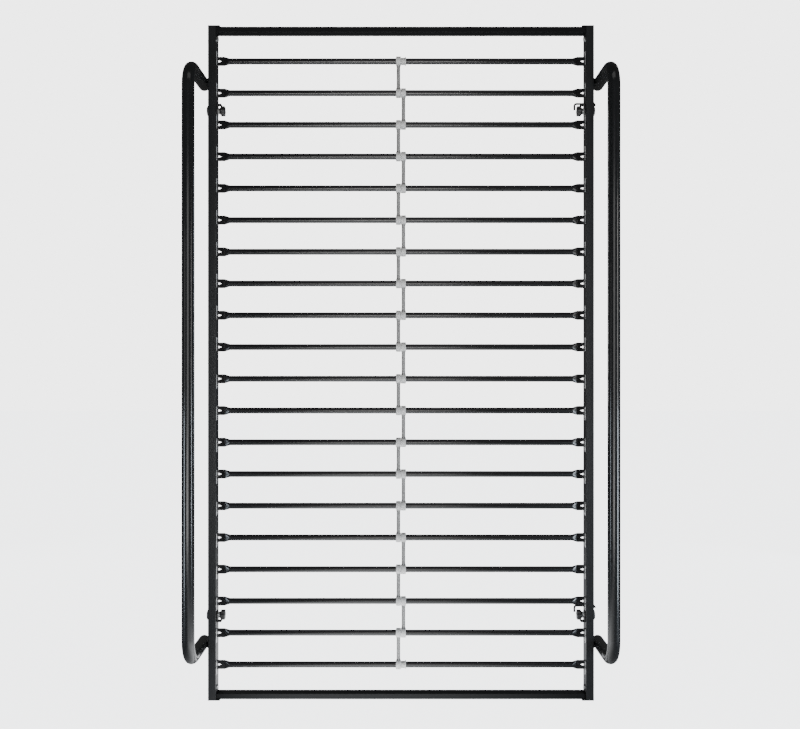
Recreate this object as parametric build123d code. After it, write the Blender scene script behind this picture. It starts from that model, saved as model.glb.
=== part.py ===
from build123d import *
import math
import os

# Black tubular panel gate. All lengths are millimetres. +X is to the right seen from the
# front, +Z is up, and the front looks along -Y. Depths below are measured back from the
# front face of the stiles. The origin is the centre of the gate's box, at its lowest face.

# ---- overall ----
PANEL_WIDTH = 1220.0          # over the outer faces of the stiles
PANEL_HEIGHT = 2134.0         # over the end caps
CAP_THICKNESS = 3.0
CAP_OVER_RAIL = 12.5          # cap's run along the rail, past the stile

# ---- stiles: channels that are open at the back ----
STILE_FACE = 25.0
STILE_DEPTH = 50.0
STILE_WALL = 2.5
STILE_EDGE_RADIUS = 2.0

# ---- rails: rectangular tube let into the channel ends ----
RAIL_HEIGHT = 18.0
RAIL_SETBACK = 5.0            # rail front face behind the stile front face, and the same at the back
RAIL_WALL = 2.0
RAIL_EDGE_RADIUS = 1.5
RAIL_END_GAP = 0.4            # rail end to the inside of the outer flange
RAIL_NOTCH_CLEARANCE = 0.3
RAIL_TAB_LENGTH = 30.0
RAIL_TAB_THICKNESS = 3.0
RAIL_TAB_DEPTH = 24.0

# ---- corner bolts: through the inner flange and the rail's tab ----
CORNER_BOLT_DROP = 15.0       # bolt axis from the rail's inner face
CORNER_BOLT_DIAMETER = 8.0
CORNER_HEAD_FLATS = 15.0
CORNER_HEAD_HEIGHT = 4.5
CORNER_NUT_FLATS = 13.0
CORNER_NUT_HEIGHT = 6.0
CORNER_BOLT_TAIL = 1.5        # thread past the nut
HOLE_CLEARANCE = 0.2          # radial, round every fixed bolt

# ---- rungs: tube with both ends pressed flat and notched ----
RUNG_COUNT = 20
RUNG_END_MARGIN = 107.5       # first and last rung axis from the gate's ends
RUNG_DIAMETER = 19.0
RUNG_WALL = 1.2
RUNG_SETBACK = 24.5           # rung axis behind the stile front face
PRESS_GAP = 0.2               # left between the two pressed walls
FORK_FLAT = 24.0              # pressed flat, from the stile
FORK_TAPER = 16.0             # from flat back to round
FORK_NOTCH_WIDTH = 10.5       # at the stile
FORK_NOTCH_DEPTH = 15.0       # from the stile
TENON_WIDTH = 24.0
TENON_REACH = 3.5             # past the inside of the flange
PRESS_ARC_SPREAD = 20.0       # degrees of the round tube, each side, that become a pressed edge
BORE_TAPER_SHARE = 0.6        # of the taper that stays hollow
BORE_TIP_SHARE = 0.4          # of the bore's radius where the hollow ends

# ---- rung slots and the grey bushes pressed into them ----
SLOT_WIDTH = 15.5
SLOT_FRONT = 12.0             # front edge of the slot behind the stile front face
SLOT_NEAR = 13.2              # from the rung axis towards mid-height
SLOT_FAR = 30.8               # from the rung axis away from mid-height
SLOT_RADIUS = 2.0
BUSH_FIT = 0.1                # bush to slot, all round
BUSH_PROUD = 0.4              # past the panel side of the flange, beside the fork
BUSH_LIP = 1.5                # lip width and thickness on the channel side
TENON_FIT = 0.15              # tenon to bush, all round
FORK_BUSH_GAP = 0.3           # bush face to the fork's shoulders

# ---- links: snap-on straps that space the rungs ----
LINK_OFFSET = 8.0             # of each column from the centre line
LINK_RING_WALL = 5.5          # ring outside over the rung
LINK_RING_WIDTH = 15.5
LINK_BORE_FIT = 0.1           # radial, on the rung
LINK_MOUTH = 12.0             # snap opening at the back
LINK_RING_ROUND = 2.0
STRAP_WIDTH = 11.5
STRAP_THICKNESS = 3.0         # of the flat wings
STRAP_RIB_WIDTH = 2.8         # rib down the middle of both faces
STRAP_RIB_DEPTH = 8.0         # over both ribs
STRAP_OVERLAP = 2.0           # strap's run into each ring

# ---- end collars: stop rings on the first and last rung ----
COLLAR_WALL = 1.5             # collar outside over the rung
COLLAR_FLANGE_STEP = 4.0      # flange rim over the rung
COLLAR_FLANGE = 3.0

# ---- hoops: tube bows standing off the front of the gate ----
HOOP_DIAMETER = 38.0
HOOP_WALL = 2.0
HOOP_STANDOFF = 205.0         # straight run's axis in front of the stile front face
HOOP_ARM_INSET = 178.0        # arm axis from the gate's ends
HOOP_BEND_RADIUS = 71.5
HOOP_END_SETBACK = 7.0        # sawn end in front of the stile's back edges
WELD_HALF_WIDTH = 8.0
WELD_THICKNESS = 3.5
WELD_END = 4.0                # weld stops short of the tube end and the stile edge

# ---- clamp sets: carriage bolt, lip plate, nut and star knob ----
CLAMP_RUNG = 3                # counted from either end
CLAMP_FROM_RUNG = 43.5        # bolt axis beyond that rung's axis
CLAMP_SETBACK = 25.0
CLAMP_BOLT_DIAMETER = 10.0
CLAMP_HEAD_DIAMETER = 33.0
CLAMP_HEAD_HEIGHT = 7.0
CLAMP_HEAD_ROUND = 5.0
CLAMP_NUT_FLATS = 17.0
CLAMP_NUT_HEIGHT = 6.0
LIP_PLATE_THICKNESS = 3.0
LIP_PLATE_WIDTH = 24.0
LIP_PLATE_NEAR = 12.5         # from the bolt axis towards mid-height
LIP_PLATE_FAR = 21.5          # from the bolt axis away from mid-height
LIP_LENGTH = 14.5             # lip, from the flange
KNOB_DIAMETER = 33.0
KNOB_END = 25.5               # knob's far end from the flange
KNOB_NECK = 4.5
KNOB_NECK_DIAMETER = 21.0
KNOB_LOBES = 6
KNOB_FLUTE_RADIUS = 4.5
KNOB_FLUTE_CENTRE = 18.5
KNOB_ROUND = 1.6
KNOB_CROWN = 4.0              # moulding past the end of the bolt
KNOB_RUNNING_FIT = 0.05       # radial, knob on bolt
KNOB_FACE_GAP = 0.3
KNOB_BORE_RELIEF = 1.0        # bore past the end of the bolt

# ---- latches: sprung tongues with a bent pull rod, right stile only ----
LATCH_LIP_GAP = 0.2           # guide bush to the far side of a lip plate
LATCH_SETBACK = 36.0
LATCH_TRAVEL = 11.0
TONGUE_HEIGHT = 18.0
TONGUE_BELOW_ROD = 6.5        # flat underside below the rod axis
TONGUE_WIDTH = 9.0
TONGUE_REACH = 11.6           # past the stile's outer face
TONGUE_TIP = 4.0              # height of the blunt nose
TONGUE_RAMP_START = 1.0
TONGUE_SHOULDER = 2.5         # collar inside the channel
TONGUE_SHOULDER_LIP = 2.0
TONGUE_FIT = 0.3              # tongue in its window, all round
ROD_DIAMETER = 6.4
ROD_LEG_INSET = 31.0          # hanging leg's axis from the inner flange
ROD_LEG_DROP = 20.0
ROD_BEND_RADIUS = 6.5
GUIDE_WALL = 1.04
GUIDE_HEAD_STEP = 1.7         # head rim over the guide
GUIDE_HEAD = 1.2
GUIDE_PROUD = 2.0
GUIDE_RUNNING_FIT = 0.06      # radial, rod in guide
SPRING_WIRE = 0.8
SPRING_ROD_GAP = 0.9          # inside of the coil to the rod
SPRING_TURNS = 3.5
SPRING_END_GAP = 0.1

# ---- places worked out from the sizes above ----
HALF_WIDTH = PANEL_WIDTH / 2
MID_HEIGHT = PANEL_HEIGHT / 2
STILE_LENGTH = PANEL_HEIGHT - 2 * CAP_THICKNESS
FLANGE_FACE = HALF_WIDTH - STILE_FACE            # panel side of the inner flange
FLANGE_BACK = FLANGE_FACE + STILE_WALL           # channel side of the inner flange
OUTER_INSIDE = HALF_WIDTH - STILE_WALL           # channel side of the outer flange
HOOP_FRONT = HOOP_STANDOFF + HOOP_DIAMETER / 2
Y_OF_FRONT_FACE = (HOOP_FRONT - STILE_DEPTH) / 2  # puts the origin at the box's middle
RUNG_RADIUS = RUNG_DIAMETER / 2
FORK_WIDTH = math.pi * (RUNG_DIAMETER - RUNG_WALL) / 2 + RUNG_WALL
FORK_THICKNESS = 2 * RUNG_WALL + PRESS_GAP
HOOP_AXIS_X = HALF_WIDTH + HOOP_DIAMETER / 2
CUT_OVERRUN = 5.0                                # how far cutting tools run past a face
RAIL_DEPTH = STILE_DEPTH - 2 * RAIL_SETBACK
RUNG_PITCH = (PANEL_HEIGHT - 2 * RUNG_END_MARGIN) / (RUNG_COUNT - 1)
LINK_RING_DIAMETER = RUNG_DIAMETER + 2 * LINK_RING_WALL
COLLAR_DIAMETER = RUNG_DIAMETER + 2 * COLLAR_WALL
COLLAR_FLANGE_DIAMETER = RUNG_DIAMETER + 2 * COLLAR_FLANGE_STEP
HOOP_ARM_HEIGHT = MID_HEIGHT - HOOP_ARM_INSET    # arm axis from mid-height
HOOP_ARM_END = STILE_DEPTH - HOOP_END_SETBACK
CLAMP_HEIGHT = ((RUNG_COUNT + 1) / 2 - CLAMP_RUNG) * RUNG_PITCH + CLAMP_FROM_RUNG
GUIDE_DIAMETER = ROD_DIAMETER + 2 * (GUIDE_RUNNING_FIT + GUIDE_WALL)
GUIDE_HEAD_DIAMETER = GUIDE_DIAMETER + 2 * GUIDE_HEAD_STEP
LATCH_RISE = LIP_PLATE_FAR + LATCH_LIP_GAP + GUIDE_DIAMETER / 2  # rod axis above a clamp bolt
SPRING_RADIUS = ROD_DIAMETER / 2 + SPRING_ROD_GAP + SPRING_WIRE / 2


def y_at(depth):
    return Y_OF_FRONT_FACE + depth


def block(x0, x1, depth0, depth1, z0, z1):
    """A box between two x, two depths and two heights."""
    middle = ((x0 + x1) / 2, y_at((depth0 + depth1) / 2), (z0 + z1) / 2)
    return Pos(*middle) * Box(abs(x1 - x0), abs(depth1 - depth0), abs(z1 - z0))


def rod_x(x0, x1, depth, z, radius):
    """A round bar along X."""
    middle = ((x0 + x1) / 2, y_at(depth), z)
    return Pos(*middle) * Rot(0, 90, 0) * Cylinder(radius, abs(x1 - x0))


def hex_x(x0, x1, depth, z, flats):
    """A hexagonal bar along X."""
    profile = Plane.YZ.offset(x0) * Pos(y_at(depth), z) * RegularPolygon(flats / 2, 6, False)
    return extrude(profile, amount=x1 - x0)


def sided(part, side):
    """The part as drawn on the right (+1), or mirrored to the left (-1)."""
    return part if side > 0 else mirror(part, about=Plane.YZ)


def rung_height(number):
    """Height of a rung's axis; rung 1 is the top one."""
    return MID_HEIGHT + ((RUNG_COUNT + 1) / 2 - number) * RUNG_PITCH


def away(z):
    """+1 above mid-height and -1 below it: the direction away from the middle."""
    return 1 if z > MID_HEIGHT else -1


def save(part, name):
    part.label = name
    export_step(part, os.path.join("parts", name + ".step"))


# ---- frame ----
def slot_box(number, x0, x1, shrink, z_shift=0.0):
    """The block that fills a rung's slot, drawn in by shrink all round."""
    z = rung_height(number)
    low = z - SLOT_NEAR * away(z)
    high = z + SLOT_FAR * away(z)
    z0, z1 = min(low, high) + shrink, max(low, high) - shrink
    solid = block(x0, x1, SLOT_FRONT + shrink, SLOT_FRONT + SLOT_WIDTH - shrink, z0, z1)
    return fillet(solid.edges().filter_by(Axis.X), SLOT_RADIUS)


def corner_bolt_heights():
    inset = CAP_THICKNESS + RAIL_HEIGHT + CORNER_BOLT_DROP
    return (inset, PANEL_HEIGHT - inset)


def clamp_heights():
    return (MID_HEIGHT - CLAMP_HEIGHT, MID_HEIGHT + CLAMP_HEIGHT)


def latch_heights():
    return tuple(z + LATCH_RISE for z in clamp_heights())


def tongue_window(z, fit):
    """Cut-out in the outer flange for a latch tongue."""
    z0 = z - TONGUE_BELOW_ROD - fit
    half = TONGUE_WIDTH / 2 + fit
    return block(OUTER_INSIDE - CUT_OVERRUN, HALF_WIDTH + CUT_OVERRUN,
                 LATCH_SETBACK - half, LATCH_SETBACK + half, z0, z0 + TONGUE_HEIGHT + 2 * fit)


def make_stile(side):
    z0, z1 = CAP_THICKNESS, PANEL_HEIGHT - CAP_THICKNESS
    outer = block(FLANGE_FACE, HALF_WIDTH, 0, STILE_DEPTH, z0, z1)
    front_edges = outer.edges().filter_by(Axis.Z).group_by(Axis.Y)[0]
    outer = fillet(front_edges, STILE_EDGE_RADIUS)
    hollow = block(FLANGE_BACK, OUTER_INSIDE, STILE_WALL, STILE_DEPTH + CUT_OVERRUN,
                   z0 - CUT_OVERRUN, z1 + CUT_OVERRUN)
    cuts = [hollow]
    inner_cut = (FLANGE_FACE - CUT_OVERRUN, FLANGE_BACK + CUT_OVERRUN)
    for number in range(1, RUNG_COUNT + 1):
        cuts.append(slot_box(number, *inner_cut, 0.0))
    notch = RAIL_HEIGHT + RAIL_NOTCH_CLEARANCE
    for low, high in ((z0 - CUT_OVERRUN, z0 + notch), (z1 - notch, z1 + CUT_OVERRUN)):
        cuts.append(block(*inner_cut, RAIL_SETBACK - RAIL_NOTCH_CLEARANCE,
                          RAIL_SETBACK + RAIL_DEPTH + RAIL_NOTCH_CLEARANCE, low, high))
    rail_middle = RAIL_SETBACK + RAIL_DEPTH / 2
    for z in corner_bolt_heights():
        cuts.append(rod_x(*inner_cut, rail_middle, z, CORNER_BOLT_DIAMETER / 2 + HOLE_CLEARANCE))
    outer_cut = (OUTER_INSIDE - CUT_OVERRUN, HALF_WIDTH + CUT_OVERRUN)
    neck = CLAMP_BOLT_DIAMETER / 2 + HOLE_CLEARANCE
    for z in clamp_heights():
        cuts.append(rod_x(*inner_cut, CLAMP_SETBACK, z, neck))
        cuts.append(block(*outer_cut, CLAMP_SETBACK - neck, CLAMP_SETBACK + neck,
                          z - neck, z + neck))
    if side > 0:
        for z in latch_heights():
            cuts.append(rod_x(*inner_cut, LATCH_SETBACK, z, GUIDE_DIAMETER / 2 + BUSH_FIT))
            cuts.append(tongue_window(z, TONGUE_FIT))
    return sided(outer - cuts, side)


def make_rail(level):
    """Level -1 is the bottom rail, +1 the top one."""
    reach = OUTER_INSIDE - RAIL_END_GAP
    z_out = MID_HEIGHT + level * (MID_HEIGHT - CAP_THICKNESS)
    z_in = z_out - level * RAIL_HEIGHT
    low, high = min(z_out, z_in), max(z_out, z_in)
    back = RAIL_SETBACK + RAIL_DEPTH
    tube = block(-reach, reach, RAIL_SETBACK, back, low, high)
    tube = fillet(tube.edges().filter_by(Axis.X), RAIL_EDGE_RADIUS)
    bore = block(-reach - CUT_OVERRUN, reach + CUT_OVERRUN, RAIL_SETBACK + RAIL_WALL,
                 back - RAIL_WALL, low + RAIL_WALL, high - RAIL_WALL)
    rail = tube - bore
    middle = RAIL_SETBACK + RAIL_DEPTH / 2
    bolt_z = z_in - level * CORNER_BOLT_DROP
    tab = block(FLANGE_BACK, FLANGE_BACK + RAIL_TAB_THICKNESS, middle - RAIL_TAB_DEPTH / 2,
                middle + RAIL_TAB_DEPTH / 2, z_in, z_in - level * RAIL_TAB_LENGTH)
    tab -= rod_x(FLANGE_FACE, HALF_WIDTH, middle, bolt_z,
                 CORNER_BOLT_DIAMETER / 2 + HOLE_CLEARANCE)
    return rail + sided(tab, 1) + sided(tab, -1)


def make_cap(side, level):
    """End plate of a stile that reaches over the rail's end, with a locating tongue."""
    z_out = MID_HEIGHT + level * MID_HEIGHT
    z_in = z_out - level * CAP_THICKNESS
    reach = FLANGE_FACE - CAP_OVER_RAIL
    plate = block(reach, HALF_WIDTH, 0, STILE_DEPTH, min(z_out, z_in), max(z_out, z_in))
    edges = plate.edges().filter_by(Axis.Z)
    plate = fillet(edges, STILE_EDGE_RADIUS)
    back = RAIL_SETBACK + RAIL_DEPTH
    gap = RAIL_NOTCH_CLEARANCE
    tongue = block(FLANGE_BACK + gap, OUTER_INSIDE - gap, back + gap, STILE_DEPTH - gap,
                   z_in, z_in - level * RAIL_HEIGHT / 2)
    return sided(plate + tongue, side)


def make_caps():
    return Compound(children=[make_cap(side, level) for side in (-1, 1) for level in (-1, 1)])


def make_corner_bolts():
    middle = RAIL_SETBACK + RAIL_DEPTH / 2
    nut_start = FLANGE_BACK + RAIL_TAB_THICKNESS
    tail = nut_start + CORNER_NUT_HEIGHT + CORNER_BOLT_TAIL
    pieces = []
    for side in (-1, 1):
        for z in corner_bolt_heights():
            head = hex_x(FLANGE_FACE - CORNER_HEAD_HEIGHT, FLANGE_FACE, middle, z,
                         CORNER_HEAD_FLATS)
            shank = rod_x(FLANGE_FACE, tail, middle, z, CORNER_BOLT_DIAMETER / 2)
            nut = hex_x(nut_start, nut_start + CORNER_NUT_HEIGHT, middle, z, CORNER_NUT_FLATS)
            nut -= rod_x(FLANGE_FACE, HALF_WIDTH, middle, z, CORNER_BOLT_DIAMETER / 2)
            pieces += [sided(head + shank, side), sided(nut, side)]
    return Compound(children=pieces)


# ---- rungs ----
def round_wire(x, radius, spread):
    """A circle across X in four arcs, the two at +Z and -Z spanning twice spread."""
    def at(degrees):
        angle = math.radians(degrees)
        return (x, radius * math.cos(angle), radius * math.sin(angle))
    stops = (90 - spread, 90 + spread, 270 - spread, 270 + spread, 450 - spread)
    arcs = [Edge.make_three_point_arc(at(a), at((a + b) / 2), at(b))
            for a, b in zip(stops, stops[1:])]
    return Wire(arcs)


def flat_wire(x, width, thickness):
    """The pressed section across X: two flats joined by two round edges."""
    radius = thickness / 2
    straight = width / 2 - radius
    corners = [(x, radius, straight), (x, -radius, straight),
               (x, -radius, -straight), (x, radius, -straight)]
    top = Edge.make_three_point_arc(corners[0], (x, 0, width / 2), corners[1])
    front = Edge.make_line(corners[1], corners[2])
    bottom = Edge.make_three_point_arc(corners[2], (x, 0, -width / 2), corners[3])
    back = Edge.make_line(corners[3], corners[0])
    return Wire([top, front, bottom, back])


def make_rung_blank():
    """One rung about the origin, along X, for all the heights."""
    shoulder = FLANGE_FACE
    flat_start = shoulder - FORK_FLAT
    taper_start = flat_start - FORK_TAPER
    tip = FLANGE_BACK + TENON_REACH
    bore_radius = RUNG_RADIUS - RUNG_WALL
    body = Rot(0, 90, 0) * Cylinder(RUNG_RADIUS, 2 * taper_start)
    bore = Rot(0, 90, 0) * Cylinder(bore_radius, 2 * taper_start)
    hollow = FORK_TAPER * BORE_TAPER_SHARE
    cone = Pos(taper_start + hollow / 2, 0, 0) * Rot(0, 90, 0) * Cone(
        bore_radius, bore_radius * BORE_TIP_SHARE, hollow)
    flat = flat_wire(flat_start, FORK_WIDTH, FORK_THICKNESS)
    taper = Solid.make_loft([round_wire(taper_start, RUNG_RADIUS, PRESS_ARC_SPREAD), flat], True)
    blade = extrude(Face(flat), amount=FORK_FLAT, dir=(1, 0, 0))
    tenon = Pos((shoulder + tip) / 2, 0, 0) * Box(tip - shoulder, FORK_THICKNESS, TENON_WIDTH)
    slope = FORK_NOTCH_WIDTH / 2 / FORK_NOTCH_DEPTH
    mouth = (FORK_NOTCH_DEPTH + tip - shoulder + CUT_OVERRUN) * slope
    apex = shoulder - FORK_NOTCH_DEPTH
    past = tip + CUT_OVERRUN
    outline = Polyline((apex, 0), (past, mouth), (past, -mouth), close=True)
    notch = extrude(Plane.XZ * make_face(outline), amount=RUNG_DIAMETER, both=True)
    end = taper + blade + tenon - notch
    return body + end + mirror(end, about=Plane.YZ) - bore - cone - mirror(cone, about=Plane.YZ)


def make_bush(number):
    """Grey moulded bush that fills the slot round a rung's tenon."""
    z = rung_height(number)
    face = FLANGE_FACE + FORK_BUSH_GAP
    inside = FLANGE_BACK
    plug = slot_box(number, face, inside + BUSH_LIP, BUSH_FIT)
    lip = slot_box(number, inside, inside + BUSH_LIP, -BUSH_LIP)
    half_thick = FORK_THICKNESS / 2 + TENON_FIT
    half_wide = TENON_WIDTH / 2 + TENON_FIT
    slit = block(face - CUT_OVERRUN, inside + CUT_OVERRUN, RUNG_SETBACK - half_thick,
                 RUNG_SETBACK + half_thick, z - half_wide, z + half_wide)
    return plug + lip - slit


def make_bushes():
    pieces = []
    for number in range(1, RUNG_COUNT + 1):
        bush = make_bush(number)
        pieces += [bush, sided(bush, -1)]
    return Compound(children=pieces)


# ---- links ----
def make_link_blank():
    """One link about its own middle, for the columns beside the centre line."""
    half = RUNG_PITCH / 2
    outer = LINK_RING_DIAMETER / 2
    bore = RUNG_RADIUS + LINK_BORE_FIT
    ring = Rot(0, 90, 0) * Cylinder(outer, LINK_RING_WIDTH)
    ring = fillet(ring.edges().filter_by(GeomType.CIRCLE), LINK_RING_ROUND)
    reach = half - outer + STRAP_OVERLAP
    link = Box(STRAP_WIDTH, STRAP_THICKNESS, 2 * reach)
    link += Box(STRAP_RIB_WIDTH, STRAP_RIB_DEPTH, 2 * reach)
    for level in (-1, 1):
        link += Pos(0, 0, level * half) * ring
    for level in (-1, 1):
        past_ring = LINK_RING_WIDTH + 2 * CUT_OVERRUN
        link -= Pos(0, 0, level * half) * Rot(0, 90, 0) * Cylinder(bore, past_ring)
        link -= Pos(0, outer, level * half) * Box(past_ring, 2 * outer, LINK_MOUTH)
    return link


def make_end_collars():
    """Flanged stop rings that fill the right place on the first and last rung."""
    start = LINK_OFFSET - LINK_RING_WIDTH / 2
    end = LINK_OFFSET + LINK_RING_WIDTH / 2
    pieces = []
    for number in (1, RUNG_COUNT):
        z = rung_height(number)
        collar = rod_x(start, end, RUNG_SETBACK, z, COLLAR_DIAMETER / 2)
        collar += rod_x(end - COLLAR_FLANGE, end, RUNG_SETBACK, z, COLLAR_FLANGE_DIAMETER / 2)
        collar -= rod_x(start - CUT_OVERRUN, end + CUT_OVERRUN, RUNG_SETBACK, z,
                        RUNG_RADIUS + LINK_BORE_FIT)
        pieces.append(collar)
    return Compound(children=pieces)


# ---- hoops ----
def make_hoop(side):
    y_end, y_run = y_at(HOOP_ARM_END), y_at(-HOOP_STANDOFF)
    low, high = MID_HEIGHT - HOOP_ARM_HEIGHT, MID_HEIGHT + HOOP_ARM_HEIGHT
    corners = [(HOOP_AXIS_X, y_end, low), (HOOP_AXIS_X, y_run, low),
               (HOOP_AXIS_X, y_run, high), (HOOP_AXIS_X, y_end, high)]
    path = FilletPolyline(*corners, radius=HOOP_BEND_RADIUS)
    start = Plane(origin=corners[0], z_dir=(0, -1, 0))
    outside = sweep(start * Circle(HOOP_DIAMETER / 2), path=path)
    inside = sweep(start * Circle(HOOP_DIAMETER / 2 - HOOP_WALL), path=path)
    for z in (low, high):
        outside += block(HALF_WIDTH, HALF_WIDTH + WELD_THICKNESS, WELD_END,
                         HOOP_ARM_END - WELD_END, z - WELD_HALF_WIDTH, z + WELD_HALF_WIDTH)
    return sided(outside - inside, side)


# ---- clamp sets ----
def clamp_tip():
    """End of the clamp bolt, inside the knob."""
    return FLANGE_FACE - KNOB_END + KNOB_CROWN


def make_clamp_bolts():
    """Carriage bolts with their plain nuts."""
    neck = CLAMP_BOLT_DIAMETER
    nut_face = FLANGE_FACE - LIP_PLATE_THICKNESS
    pieces = []
    for side in (-1, 1):
        for z in clamp_heights():
            head = rod_x(HALF_WIDTH, HALF_WIDTH + CLAMP_HEAD_HEIGHT, CLAMP_SETBACK, z,
                         CLAMP_HEAD_DIAMETER / 2)
            rim = head.edges().filter_by(GeomType.CIRCLE).sort_by(Axis.X)[-1]
            head = fillet(rim, CLAMP_HEAD_ROUND)
            head += block(OUTER_INSIDE, HALF_WIDTH, CLAMP_SETBACK - neck / 2,
                          CLAMP_SETBACK + neck / 2, z - neck / 2, z + neck / 2)
            shank = rod_x(clamp_tip(), HALF_WIDTH, CLAMP_SETBACK, z, CLAMP_BOLT_DIAMETER / 2)
            nut = hex_x(nut_face - CLAMP_NUT_HEIGHT, nut_face, CLAMP_SETBACK, z, CLAMP_NUT_FLATS)
            nut -= rod_x(clamp_tip(), HALF_WIDTH, CLAMP_SETBACK, z, CLAMP_BOLT_DIAMETER / 2)
            pieces += [sided(head + shank, side), sided(nut, side)]
    return Compound(children=pieces)


def make_lip_plates():
    """Angle plates under the nuts, each with its lip away from mid-height."""
    pieces = []
    for side in (-1, 1):
        for z in clamp_heights():
            far = z + LIP_PLATE_FAR * away(z)
            near = z - LIP_PLATE_NEAR * away(z)
            lip_in = far - LIP_PLATE_THICKNESS * away(z)
            front = CLAMP_SETBACK - LIP_PLATE_WIDTH / 2
            back = CLAMP_SETBACK + LIP_PLATE_WIDTH / 2
            plate = block(FLANGE_FACE - LIP_PLATE_THICKNESS, FLANGE_FACE, front, back,
                          min(near, far), max(near, far))
            lip = block(FLANGE_FACE - LIP_LENGTH, FLANGE_FACE, front, back,
                        min(lip_in, far), max(lip_in, far))
            plate += lip
            plate -= rod_x(FLANGE_FACE - CUT_OVERRUN, FLANGE_FACE + CUT_OVERRUN, CLAMP_SETBACK, z,
                           CLAMP_BOLT_DIAMETER / 2 + HOLE_CLEARANCE)
            pieces.append(sided(plate, side))
    return Compound(children=pieces)


def make_knob(side, z):
    """Star knob on the clamp bolt's end: a cone neck under six lobes."""
    base = FLANGE_FACE - LIP_PLATE_THICKNESS - CLAMP_NUT_HEIGHT - KNOB_FACE_GAP
    end = FLANGE_FACE - KNOB_END
    lobes = rod_x(end, base - KNOB_NECK, CLAMP_SETBACK, z, KNOB_DIAMETER / 2)
    for index in range(KNOB_LOBES):
        angle = math.radians(360 / KNOB_LOBES * (index + 0.5))
        lobes -= rod_x(end - CUT_OVERRUN, base, CLAMP_SETBACK + KNOB_FLUTE_CENTRE * math.cos(angle),
                       z + KNOB_FLUTE_CENTRE * math.sin(angle), KNOB_FLUTE_RADIUS)
    lobes = fillet(lobes.faces().sort_by(Axis.X)[0].edges(), KNOB_ROUND)
    neck_middle = (base - KNOB_NECK / 2, y_at(CLAMP_SETBACK), z)
    neck = Pos(*neck_middle) * Rot(0, 90, 0) * Cone(
        KNOB_FLUTE_CENTRE - KNOB_FLUTE_RADIUS, KNOB_NECK_DIAMETER / 2, KNOB_NECK)
    bore = rod_x(clamp_tip() - KNOB_BORE_RELIEF, base + CUT_OVERRUN, CLAMP_SETBACK, z,
                 CLAMP_BOLT_DIAMETER / 2 + KNOB_RUNNING_FIT)
    return sided(lobes + neck - bore, side)


# ---- latches ----
def make_latch(z):
    """Tongue, collar and bent pull rod as one piece."""
    low = z - TONGUE_BELOW_ROD
    high = low + TONGUE_HEIGHT
    tip = HALF_WIDTH + TONGUE_REACH
    ramp = HALF_WIDTH + TONGUE_RAMP_START
    start = OUTER_INSIDE - TONGUE_SHOULDER
    outline = Polyline((start, low), (tip, low), (tip, low + TONGUE_TIP), (ramp, high),
                       (start, high), close=True)
    tongue = extrude(Plane.XZ.offset(-y_at(LATCH_SETBACK)) * make_face(outline),
                     amount=TONGUE_WIDTH / 2, both=True)
    lip = TONGUE_SHOULDER_LIP
    half = TONGUE_WIDTH / 2 + lip
    tongue += block(start, OUTER_INSIDE, LATCH_SETBACK - half, LATCH_SETBACK + half,
                    low - lip, high + lip)
    leg_x = FLANGE_FACE - ROD_LEG_INSET
    y = y_at(LATCH_SETBACK)
    path = FilletPolyline((start, y, z), (leg_x, y, z), (leg_x, y, z - ROD_LEG_DROP),
                          radius=ROD_BEND_RADIUS)
    begin = Plane(origin=(start, y, z), z_dir=(-1, 0, 0))
    return tongue + sweep(begin * Circle(ROD_DIAMETER / 2), path=path)


def make_latch_guides():
    """Flanged bushes that carry the pull rods through the inner flange."""
    pieces = []
    for z in latch_heights():
        end = FLANGE_BACK + GUIDE_HEAD
        guide = rod_x(FLANGE_FACE - GUIDE_PROUD, end, LATCH_SETBACK, z, GUIDE_DIAMETER / 2)
        guide += rod_x(FLANGE_BACK, end, LATCH_SETBACK, z, GUIDE_HEAD_DIAMETER / 2)
        guide -= rod_x(FLANGE_FACE - CUT_OVERRUN, end + CUT_OVERRUN, LATCH_SETBACK, z,
                       ROD_DIAMETER / 2 + GUIDE_RUNNING_FIT)
        pieces.append(guide)
    return Compound(children=pieces)


def make_latch_spring(z):
    """Compression spring between the guide's head and the tongue's collar."""
    start = FLANGE_BACK + GUIDE_HEAD + SPRING_END_GAP + SPRING_WIRE / 2
    end = OUTER_INSIDE - TONGUE_SHOULDER - SPRING_END_GAP - SPRING_WIRE / 2
    length = end - start
    coil = Helix(pitch=length / SPRING_TURNS, height=length, radius=SPRING_RADIUS)
    section = Plane(origin=coil @ 0, z_dir=coil % 0) * Circle(SPRING_WIRE / 2)
    spring = sweep(section, path=coil)
    return Pos(start, y_at(LATCH_SETBACK), z) * Rot(0, 90, 0) * spring


# ---- write every node ----
os.makedirs("parts", exist_ok=True)
save(make_stile(-1), "stile_left")
save(make_stile(1), "stile_right")
save(make_rail(1), "rail_top")
save(make_rail(-1), "rail_bottom")
save(make_caps(), "stile_caps")
save(make_corner_bolts(), "corner_bolts")

rung_blank = make_rung_blank()
for number in range(1, RUNG_COUNT + 1):
    place = Pos(0, y_at(RUNG_SETBACK), rung_height(number))
    save(place * rung_blank, f"rung_{number:02d}")
save(make_bushes(), "rung_bushes")

link_blank = make_link_blank()
for number in range(1, RUNG_COUNT):
    x = -LINK_OFFSET if number % 2 else LINK_OFFSET
    z = (rung_height(number) + rung_height(number + 1)) / 2
    save(Pos(x, y_at(RUNG_SETBACK), z) * link_blank, f"link_{number:02d}")
save(make_end_collars(), "end_collars")

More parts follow.
